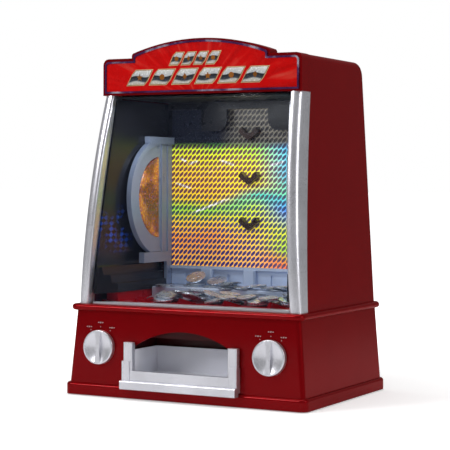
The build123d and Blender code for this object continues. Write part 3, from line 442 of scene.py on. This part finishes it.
def dress_nodes():
    gloss_red = moulded("crimson_shell", CRIMSON, 0.25, 0.03, 0.008, coat=0.14, metallic=0.45, specular=0.03,
                        tint=RED_SHEEN, uneven=0.04)
    inner_red = moulded("red_floor", (0.50, 0.003, 0.010), 0.30, 0.12, 0.05, metallic=0.3, specular=0.1,
                        tint=RED_SHEEN)
    silver = satin_silver()
    pale = moulded("pale_grey", (0.80, 0.81, 0.88), 0.35, 0.06, 0.04, coat=0.1)
    blue_grey = moulded("blue_grey", (0.58, 0.68, 0.88), 0.32, 0.08, 0.05, coat=0.2)
    black = moulded("black_gloss", (0.012, 0.012, 0.015), 0.30, 0.3, 0.02, specular=0.3)
    brown = moulded("dark_brown", (0.030, 0.012, 0.008), 0.30, 0.3, 0.05)
    matte = moulded("black_matte", (0.020, 0.020, 0.022), 0.55, 0.25, 0.3)
    white = moulded("machine_white", (0.62, 0.62, 0.57), 0.42, 0.06, 0.1)
    green = moulded("solder_mask", (0.015, 0.13, 0.05), 0.35, 0.15, 0.05, coat=0.3)
    steel = moulded("plated_steel", (0.55, 0.55, 0.57), 0.30, 0.1, 0.08, metallic=1.0)
    rubber = moulded("soft_rubber", (0.020, 0.020, 0.020), 0.75, 0.2, 0.4)
    dress(gloss_red, "base_housing", "cabinet_shell", "marquee_frame", "rear_cover")
    # Painted shade: the red inside the payout bay, its chute and wings is given a dark maroon, the shade of
    # the recess, far darker than the shell.
    shaded_maroon = moulded("bay_lining_painted_shade", (0.050, 0.001, 0.003), 0.35, 0.10, 0.05, specular=0.2)
    # Painted shade: the lamp housings get a darker copy of the blue-grey, the shade they lie in painted into
    # their colour.
    shaded_lamp_grey = moulded("shaded_lamp_grey", (0.28, 0.34, 0.48), 0.32, 0.08, 0.05, coat=0.2)
    dress(inner_red, "playfield_tray", "coin_dividers")
    dress(shaded_maroon, "bay_liner", "payout_chute", "payout_wings")
    dress(shaded_lamp_grey, "lamp_housing_left", "lamp_housing_right")
    dress(silver, "pillar_left", "pillar_right", "drawer_front", "knob_left", "knob_right", "coin_slot_bezel")
    dress(pale, "drawer_tray", "playfield_lip")
    dress(blue_grey, "wiper_fascia", "pusher_plate")
    dress(black, "header_panel", "backboard")
    dress(side_gloss(), "side_panel_left", "side_panel_right")
    dress(brown, "coin_deflectors")
    dress(matte, "base_plate", "battery_box", "battery_door", "gear_motor", "rotary_switches", "speaker")
    dress(white, "drawer_rails", "pusher_guides", "pusher_yoke", "heart_cam", "cam_gear", "drive_pinion",
          "drive_bracket", "coin_chute")
    dress(green, "lamp_boards", "main_board")
    dress(steel, "battery_contacts", "case_screws", "cam_axle", "follower_pins", "knob_shaft_left",
          "knob_shaft_right")
    dress(rubber, "rubber_feet")
    dress(clear_sheet(), "front_window")
    dress(hologram_film(), "hologram_sheet")
    dress(amber_lens(), "lamp_lens_left", "lamp_lens_right")
    dress(sign_print(), "marquee_panel")
    dress(bead_trim(), "marquee_trim")
    dress(coin_metal(), "coins_on_playfield", "coins_on_pusher", "coins_at_fascia")


# ---------------------------------------------------------------- mesh helpers

def add_piece(name, mesh, body, slot_name, *materials):
    piece = bpy.data.objects.new(name, mesh)
    bpy.context.scene.collection.objects.link(piece)
    for material in materials:
        mesh.materials.append(material)
    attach(piece, body)
    return piece


def loose_parts(node):
    """The separate solids of a node, as lists of points."""
    bm = bmesh.new()
    bm.from_mesh(node.data)
    bmesh.ops.remove_doubles(bm, verts=bm.verts, dist=0.00001)
    seen, parts = set(), []
    for vert in bm.verts:
        if vert in seen:
            continue
        stack, part = [vert], []
        seen.add(vert)
        while stack:
            here = stack.pop()
            part.append(here)
            for edge in here.link_edges:
                other = edge.other_vert(here)
                if other not in seen:
                    seen.add(other)
                    stack.append(other)
        faces = {face for v in part for face in v.link_faces}
        largest = max(faces, key=lambda face: face.calc_area())
        points = [v.co.copy() for v in part]
        parts.append((points, disc_normal(faces, largest)))
    bm.free()
    return parts


def disc_normal(faces, largest):
    """The normal of a disc's flat sides, as the area-weighted mean of faces like its largest."""
    total = Vector()
    for face in faces:
        if abs(face.normal.dot(largest.normal)) > 0.99:
            sign = 1 if face.normal.dot(largest.normal) > 0 else -1
            total += face.normal * face.calc_area() * sign
    normal = total.normalized()
    return normal if normal.z >= 0 else -normal


# ---------------------------------------------------------------- tokens

TOKEN_SIDES = 64
# Each ring of the token's face: share of the radius, and depth below the rim in millimetres
TOKEN_RINGS = ((1.00, 0.10), (0.985, 0.00), (0.91, 0.00), (0.88, 0.10),
               (0.60, 0.10), (0.58, 0.04), (0.55, 0.04), (0.53, 0.10))
STAR_OUTER = 0.44
STAR_INNER = 0.19


def star_radius(index, sides):
    """Radius share of a five-pointed star's outline at one of the token's spokes."""
    phase = (index / sides * 5) % 1.0
    share = abs(phase - 0.5) * 2
    return STAR_INNER + (STAR_OUTER - STAR_INNER) * share ** 1.6


def token_ring(bm, radius_of, height):
    ring = []
    for index in range(TOKEN_SIDES):
        angle = 2 * math.pi * index / TOKEN_SIDES
        radius = radius_of(index) * COIN_RADIUS
        ring.append(bm.verts.new((radius * math.cos(angle), radius * math.sin(angle), height)))
    return ring


def bridge(bm, ring_a, ring_b):
    for index in range(len(ring_a)):
        after = (index + 1) % len(ring_a)
        bm.faces.new((ring_a[index], ring_a[after], ring_b[after], ring_b[index]))


def token_side(bm, top, edge_ring):
    """One face of the token from its rim to the raised star in the middle."""
    rings = [edge_ring]
    sign = 1 if top else -1
    half = COIN_THICKNESS / 2

    def height(depth):
        return sign * (half - depth * MM)
    for share, depth in TOKEN_RINGS:
        rings.append(token_ring(bm, lambda index, share=share: share * 0.998, height(depth)))
    rings.append(token_ring(bm, lambda index: star_radius(index, TOKEN_SIDES) + 0.02, height(0.10)))
    rings.append(token_ring(bm, lambda index: star_radius(index, TOKEN_SIDES), height(0.02)))
    for outer, inner in zip(rings, rings[1:]):
        if top:
            bridge(bm, outer, inner)
        else:
            bridge(bm, inner, outer)
    middle = bm.verts.new((0, 0, height(0.0)))
    last = rings[-1]
    for index in range(TOKEN_SIDES):
        after = (index + 1) % TOKEN_SIDES
        corners = (last[index], last[after], middle) if top else (last[after], last[index], middle)
        bm.faces.new(corners)


def token_mesh():
    """A stamped token with a reeded edge, raised rim, inner ring and star."""
    bm = bmesh.new()
    half = COIN_THICKNESS / 2 - 0.12 * MM

    def reed(index):
        return 0.998 if index % 2 else 0.984
    upper = token_ring(bm, reed, half)
    lower = token_ring(bm, reed, -half)
    bridge(bm, lower, upper)
    token_side(bm, True, upper)
    token_side(bm, False, lower)
    bmesh.ops.recalc_face_normals(bm, faces=bm.faces)
    return bm


def add_tokens(node_name, body, metal, seed):
    """Detailed tokens where the CAD discs of one node lie."""
    source = bpy.data.meshes.new("token_source")
    token = token_mesh()
    token.to_mesh(source)
    token.free()
    dice = random.Random(seed)
    bm = bmesh.new()
    for points, normal in loose_parts(NODES[node_name]):
        low = Vector([min(p[i] for p in points) for i in range(3)])
        high = Vector([max(p[i] for p in points) for i in range(3)])
        turn = Vector((0, 0, 1)).rotation_difference(normal).to_matrix().to_4x4()
        spin = Matrix.Rotation(dice.uniform(0, 2 * math.pi), 4, "Z")
        copy = source.copy()
        copy.transform(Matrix.Translation((low + high) / 2) @ turn @ spin)
        bm.from_mesh(copy)
        bpy.data.meshes.remove(copy)
    mesh = bpy.data.meshes.new("tokens_" + node_name)
    bm.to_mesh(mesh)
    bm.free()
    piece = add_piece("tokens_" + node_name, mesh, body, "coin_metal", metal)
    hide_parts(node_name)
    bpy.data.meshes.remove(source)


# ---------------------------------------------------------------- sign emblems

def star_points(radius, inner_share=0.46, points=5):
    made = []
    for index in range(2 * points):
        angle = math.pi / 2 + math.pi * index / points
        reach = radius if index % 2 == 0 else radius * inner_share
        made.append((reach * math.cos(angle), reach * math.sin(angle)))
    return made


def disc_points(radius, sides=40):
    angles = [2 * math.pi * index / sides for index in range(sides)]
    return [(radius * math.cos(angle), radius * math.sin(angle)) for angle in angles]


def diamond_points(radius):
    return [(0, radius), (-radius * 0.72, 0), (0, -radius), (radius * 0.72, 0)]


def bar_points(width, height, lean):
    return [(-width / 2 - lean, -height / 2), (width / 2 - lean, -height / 2),
            (width / 2 + lean, height / 2), (-width / 2 + lean, height / 2)]


def grown(points, by):
    """The outline moved outwards by a distance, for a rim."""
    made = []
    count = len(points)
    for index in range(count):
        before, here, after = (Vector(points[(index + k) % count]) for k in (-1, 0, 1))
        one = (here - before).normalized()
        two = (after - here).normalized()
        normal_one = Vector((one.y, -one.x))
        normal_two = Vector((two.y, -two.x))
        mean = (normal_one + normal_two).normalized()
        reach = by / max(0.45, mean.dot(normal_one))
        made.append(tuple(here + mean * reach))
    return made


def raised(bm, points, centre, y_back, y_front, bevel):
    """A flat emblem standing out of the sign, its front edge bevelled."""
    x0, z0 = centre
    area = sum(a[0] * b[1] - b[0] * a[1] for a, b in zip(points, points[1:] + points[:1]))
    outline = points if area > 0 else points[::-1]
    inner = grown(outline, -bevel)
    back = [bm.verts.new((x0 + x, y_back, z0 + z)) for x, z in outline]
    edge = [bm.verts.new((x0 + x, y_front + bevel * 0.6, z0 + z)) for x, z in outline]
    face = [bm.verts.new((x0 + x, y_front, z0 + z)) for x, z in inner]
    bridge(bm, back, edge)
    bridge(bm, edge, face)
    bm.faces.new(face)
    bm.faces.new(back[::-1])


def emblem_layout():
    """Slanted chrome plates in two rows across the sign: place, size, lean and crest, in millimetres."""
    layout = []
    for index, crest in enumerate(("star", "disc", "diamond", "star", "disc", "diamond")):
        layout.append((-74.0 + 28.4 * index, 349.2, 24.6, 15.4, 3.0, crest))
    for index, crest in enumerate(("disc", "diamond", "star", "disc")):
        layout.append((-27.5 + 15.0 * index, 368.4, 12.6, 12.4, 2.0, crest))
    return layout


def plate_points(width, height, lean):
    """A slanted plate with two corners cut off."""
    cut = height * 0.3
    half_w, half_h = width / 2, height / 2
    return [(-half_w - lean, -half_h), (half_w - lean - cut, -half_h), (half_w - lean, -half_h + cut),
            (half_w + lean, half_h), (-half_w + lean + cut, half_h), (-half_w + lean, half_h - cut)]


def crest_points(kind, radius):
    if kind == "star":
        return star_points(radius * 1.15)
    if kind == "diamond":
        return diamond_points(radius)
    return disc_points(radius * 0.85)


CREAM_RIM, GOLD_RIM = 1.1 * MM, 0.5 * MM
CREAM_LIFT, GOLD_LIFT, PLATE_LIFT, CREST_LIFT = 0.25 * MM, 0.45 * MM, 0.6 * MM, 0.75 * MM
PRINT_BEVEL, PLATE_BEVEL = 0.2 * MM, 0.3 * MM
CREST_SHARE = 0.24
# The height between the two rows of plates, in millimetres
ROW_SPLIT = 360


def add_emblems():
    """The plates with their cream and gold rims and gold crests, each finish as one piece."""
    gold = moulded("gold_print", (0.30, 0.10, 0.01), 0.25, 0.2, 0.03, metallic=0.3)
    cream = moulded("cream_print", (0.60, 0.50, 0.26), 0.30, 0.1, 0.02)
    silver_low = chrome("chrome_low", 0.3405, 0.3575)
    silver_high = chrome("chrome_high", 0.3605, 0.3765)
    panel_low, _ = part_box("marquee_panel")
    front = panel_low.y
    back = front + 0.2 * MM
    layers = {"cream": bmesh.new(), "gold": bmesh.new(), "low": bmesh.new(), "high": bmesh.new()}
    for x, z, width, height, lean, crest in emblem_layout():
        outline = plate_points(width * MM, height * MM, lean * MM)
        centre = (x * MM, z * MM)
        cream_rim, gold_rim = grown(outline, CREAM_RIM), grown(outline, GOLD_RIM)
        badge = crest_points(crest, height * CREST_SHARE * MM)
        raised(layers["cream"], cream_rim, centre, back, front - CREAM_LIFT, PRINT_BEVEL)
        raised(layers["gold"], gold_rim, centre, back, front - GOLD_LIFT, PRINT_BEVEL)
        plates = layers["low" if z < ROW_SPLIT else "high"]
        raised(plates, outline, centre, back, front - PLATE_LIFT, PLATE_BEVEL)
        raised(layers["gold"], badge, centre, front, front - CREST_LIFT, PRINT_BEVEL)
    for name, material in (("cream", cream), ("gold", gold), ("low", silver_low), ("high", silver_high)):
        mesh = bpy.data.meshes.new("emblem_" + name)
        layers[name].to_mesh(mesh)
        layers[name].free()
        add_piece("emblem_" + name, mesh, "cabinet", "chrome_trim", material)


# ---------------------------------------------------------------- printed dial marks

WALL_FOOT_Y, WALL_FOOT_Z = -99.0 * MM, 14.3 * MM
WALL_LEAN = 0.0446
DIAL_X, DIAL_Z = 103.8 * MM, 54.0 * MM
MARK_TURN = 34
DOT_REACH = 22.2 * MM
SIDE_DASH_REACH, TOP_DASH_REACH = 26.2 * MM, 26.8 * MM
DASH_STEP = 2.6 * MM


def wall_point(x, z, lift):
    """A point just in front of the base's leaning front wall, in metres."""
    y = WALL_FOOT_Y + (z - WALL_FOOT_Z) * WALL_LEAN
    return Vector((x, y - lift, z))


def add_dial_marks():
    """Printed ticks and dots over each dial: three positions with short dashes."""
    print_white = moulded("print_white", (0.36, 0.30, 0.31), 0.5, 0.15, 0.05)
    bm = bmesh.new()
    for side in (-1, 1):
        x0 = side * DIAL_X
        for angle in (-MARK_TURN, 0, MARK_TURN):
            across, up = math.sin(math.radians(angle)), math.cos(math.radians(angle))
            raised_on_wall(bm, disc_points(0.5 * MM, 12), x0 + DOT_REACH * across, DIAL_Z + DOT_REACH * up)
            reach = SIDE_DASH_REACH if angle else TOP_DASH_REACH
            for dash in range(3):
                bar = bar_points(1.3 * MM, (1.0 + 0.5 * (dash % 2)) * MM, 0.2 * MM)
                spot_x = x0 + reach * across + (dash - 1) * DASH_STEP
                raised_on_wall(bm, bar, spot_x, DIAL_Z + reach * up)
    mesh = bpy.data.meshes.new("dial_marks")
    bm.to_mesh(mesh)
    bm.free()
    add_piece("dial_marks", mesh, "cabinet", "pale_plastic", print_white)


def raised_on_wall(bm, points, x0, z0):
    """A thin printed shape on the leaning wall."""
    back = [bm.verts.new(wall_point(x0 + x, z0 + z, -0.1 * MM)) for x, z in points]
    front = [bm.verts.new(wall_point(x0 + x, z0 + z, 0.18 * MM)) for x, z in points]
    bridge(bm, back, front)
    bm.faces.new(front)
    bm.faces.new(back[::-1])


# ---------------------------------------------------------------- stage and light

def plane(name, size, place, tilt=(0, 0, 0)):
    bm = bmesh.new()
    bmesh.ops.create_grid(bm, x_segments=1, y_segments=1, size=size / 2)
    mesh = bpy.data.meshes.new(name)
    bm.to_mesh(mesh)
    bm.free()
    made = bpy.data.objects.new(name, mesh)
    made.location = place
    made.rotation_euler = tilt
    bpy.context.scene.collection.objects.link(made)
    return made


PAPER_GLOW = 0.37


def add_stage():
    """A wide pale floor, whose own glow for the camera grows away from the machine."""
    paper = Shader("paper_floor", Roughness=0.9)
    paper.set("Base_Color", paper.mix(paper.noise(3, 2), (0.92, 0.92, 0.92), (0.95, 0.95, 0.95)))
    paper.bsdf.inputs["Specular IOR Level"].default_value = 0.0
    paper.bsdf.inputs["Emission Color"].default_value = (1.0, 1.0, 1.0, 1.0)
    x, y, _ = paper.position()
    glow = paper.spread(paper.length(x, y), 0.22, 0.75, PAPER_GLOW, 1.0)
    seen = paper.node("ShaderNodeLightPath").outputs["Is Camera Ray"]
    paper.set("Emission_Strength", paper.math("MULTIPLY", glow, seen))
    floor = plane("floor", 60.0, (0, 0, 0))
    floor.data.materials.append(paper.material)


def add_area(name, place, target, size, power, colour=(1, 1, 1)):
    data = bpy.data.lights.new(name, "AREA")
    data.shape = "RECTANGLE"
    data.size, data.size_y = size
    data.energy = power
    data.color = colour
    lamp = bpy.data.objects.new(name, data)
    lamp.location = place
    lamp.rotation_euler = (Vector(target) - Vector(place)).to_track_quat("-Z", "Y").to_euler()
    lamp.visible_camera = False
    bpy.context.scene.collection.objects.link(lamp)


ROOM_LIGHT = 0.24


def add_light():
    """A dim white room, white for the camera, with soft lamps round the machine and one inside it."""
    world = bpy.data.worlds.new("studio")
    bpy.context.scene.world = world
    world.use_nodes = True
    tree = world.node_tree
    background = tree.nodes["Background"]
    background.inputs["Color"].default_value = (1.0, 1.0, 1.0, 1.0)
    seen = tree.nodes.new("ShaderNodeLightPath").outputs["Is Camera Ray"]
    strength = tree.nodes.new("ShaderNodeMapRange")
    strength.inputs["To Min"].default_value = ROOM_LIGHT
    strength.inputs["To Max"].default_value = 1.0
    tree.links.new(seen, strength.inputs["Value"])
    tree.links.new(strength.outputs[0], background.inputs["Strength"])
    add_area("key_left", (-1.3, -1.9, 1.5), (0, 0, 0.15), (0.7, 0.7), 20)
    add_area("fill_right", (2.2, -0.3, 1.0), (0, 0, 0.2), (0.6, 1.4), 12)
    add_area("inside", (0.0, -0.045, 0.322), (0, -0.01, 0.1), (0.17, 0.03), 0.20, (0.90, 0.95, 1.0))
    add_area("top_soft", (-0.2, -0.1, 2.0), (0, 0, 0), (1.8, 1.8), 24)


add_camera()
dress_nodes()
metal = coin_metal()
add_tokens("coins_on_playfield", "cabinet", metal, 3)
add_tokens("coins_at_fascia", "cabinet", metal, 7)
add_tokens("coins_on_pusher", "pusher", metal, 9)
add_emblems()
add_dial_marks()
add_stage()
add_light()
bpy.context.scene.view_settings.view_transform = "Standard"
